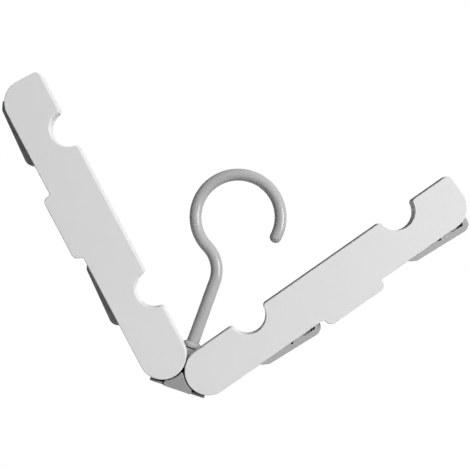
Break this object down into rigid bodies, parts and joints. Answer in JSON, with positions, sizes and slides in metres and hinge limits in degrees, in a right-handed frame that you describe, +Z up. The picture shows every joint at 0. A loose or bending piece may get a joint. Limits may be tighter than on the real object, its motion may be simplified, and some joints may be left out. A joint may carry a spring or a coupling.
{
  "type": "folding travel hanger",
  "caption": "Folding travel clothes hanger: hollow notched arms with built-in pegs fold up side by side on a hub under a swivel hook.",
  "frame": {"origin": "inside top of the hook's loop, where it sits on a rail, on the hook's axis plane", "axes": "+Z up along the hook's shank, +X to the right seen from the front, the arms' front faces look to -Y"},
  "size_m": [0.2908, 0.0255, 0.1742],
  "materials": {
    "white_plastic": "satin white moulded plastic with a fine even grain",
    "grey_plastic": "satin mid-grey moulded plastic",
    "steel": "bright zinc-plated steel",
    "nylon": "natural nylon"
  },
  "bodies": {
    "hook": {"hook": "grey_plastic", "hook_retaining_clip": "steel"},
    "hub": {"hub_body": "grey_plastic", "hub_back_cover": "grey_plastic", "hub_upper_right_screw": "steel", "hub_upper_left_screw": "steel", "hub_lower_right_screw": "steel", "hub_lower_left_screw": "steel", "left_pivot_washer": "nylon", "right_pivot_washer": "nylon"},
    "left_arm": {"left_arm_front_shell": "white_plastic", "left_arm_back_shell": "white_plastic", "left_arm_hub_end_screw": "steel", "left_arm_middle_screw": "steel", "left_arm_tip_screw": "steel", "left_pivot_pin": "steel", "left_inner_peg_pin": "steel", "left_inner_peg_spring": "steel", "left_outer_peg_pin": "steel", "left_outer_peg_spring": "steel"},
    "right_arm": {"right_arm_front_shell": "white_plastic", "right_arm_back_shell": "white_plastic", "right_arm_hub_end_screw": "steel", "right_arm_middle_screw": "steel", "right_arm_tip_screw": "steel", "right_pivot_pin": "steel", "right_inner_peg_pin": "steel", "right_inner_peg_spring": "steel", "right_outer_peg_pin": "steel", "right_outer_peg_spring": "steel"},
    "left_inner_peg": {"left_inner_peg_lever": "grey_plastic"},
    "left_outer_peg": {"left_outer_peg_lever": "grey_plastic"},
    "right_inner_peg": {"right_inner_peg_lever": "grey_plastic"},
    "right_outer_peg": {"right_outer_peg_lever": "grey_plastic"}
  },
  "joints": [
    {"name": "hook_swivel", "type": "hinge", "parent": "hook", "child": "hub", "pos_m": [-0.00163, 0, -0.10878], "axis": [0, 0, 1], "continuous": true},
    {"name": "left_arm_fold", "type": "hinge", "parent": "hub", "child": "left_arm", "pos_m": [-0.01623, -0.0068, -0.11658], "axis": [0, 1, 0], "range_deg": [-52.3, 46.7]},
    {"name": "right_arm_fold", "type": "hinge", "parent": "hub", "child": "right_arm", "pos_m": [0.01297, -0.0068, -0.11658], "axis": [0, -1, 0], "range_deg": [-62.7, 36.3]},
    {"name": "left_inner_peg_press", "type": "hinge", "parent": "left_arm", "child": "left_inner_peg", "pos_m": [-0.05768, -0.0128, -0.08796], "axis": [0, -1, 0], "range_deg": [0, 12], "stiffness_Nm_per_rad": 0.15, "springref_deg": -20.05, "deforming": ["left_inner_peg_spring"]},
    {"name": "left_outer_peg_press", "type": "hinge", "parent": "left_arm", "child": "left_outer_peg", "pos_m": [-0.13701, -0.0128, -0.01321], "axis": [0, -1, 0], "range_deg": [0, 12], "stiffness_Nm_per_rad": 0.15, "springref_deg": -20.05, "deforming": ["left_outer_peg_spring"]},
    {"name": "right_inner_peg_press", "type": "hinge", "parent": "right_arm", "child": "right_inner_peg", "pos_m": [0.04963, -0.0128, -0.08172], "axis": [0, -1, 0], "range_deg": [0, 12], "stiffness_Nm_per_rad": 0.15, "springref_deg": -20.05, "deforming": ["right_inner_peg_spring"]},
    {"name": "right_outer_peg_press", "type": "hinge", "parent": "right_arm", "child": "right_outer_peg", "pos_m": [0.11416, -0.0128, 0.00613], "axis": [0, -1, 0], "range_deg": [0, 12], "stiffness_Nm_per_rad": 0.15, "springref_deg": -20.05, "deforming": ["right_outer_peg_spring"]}
  ]
}
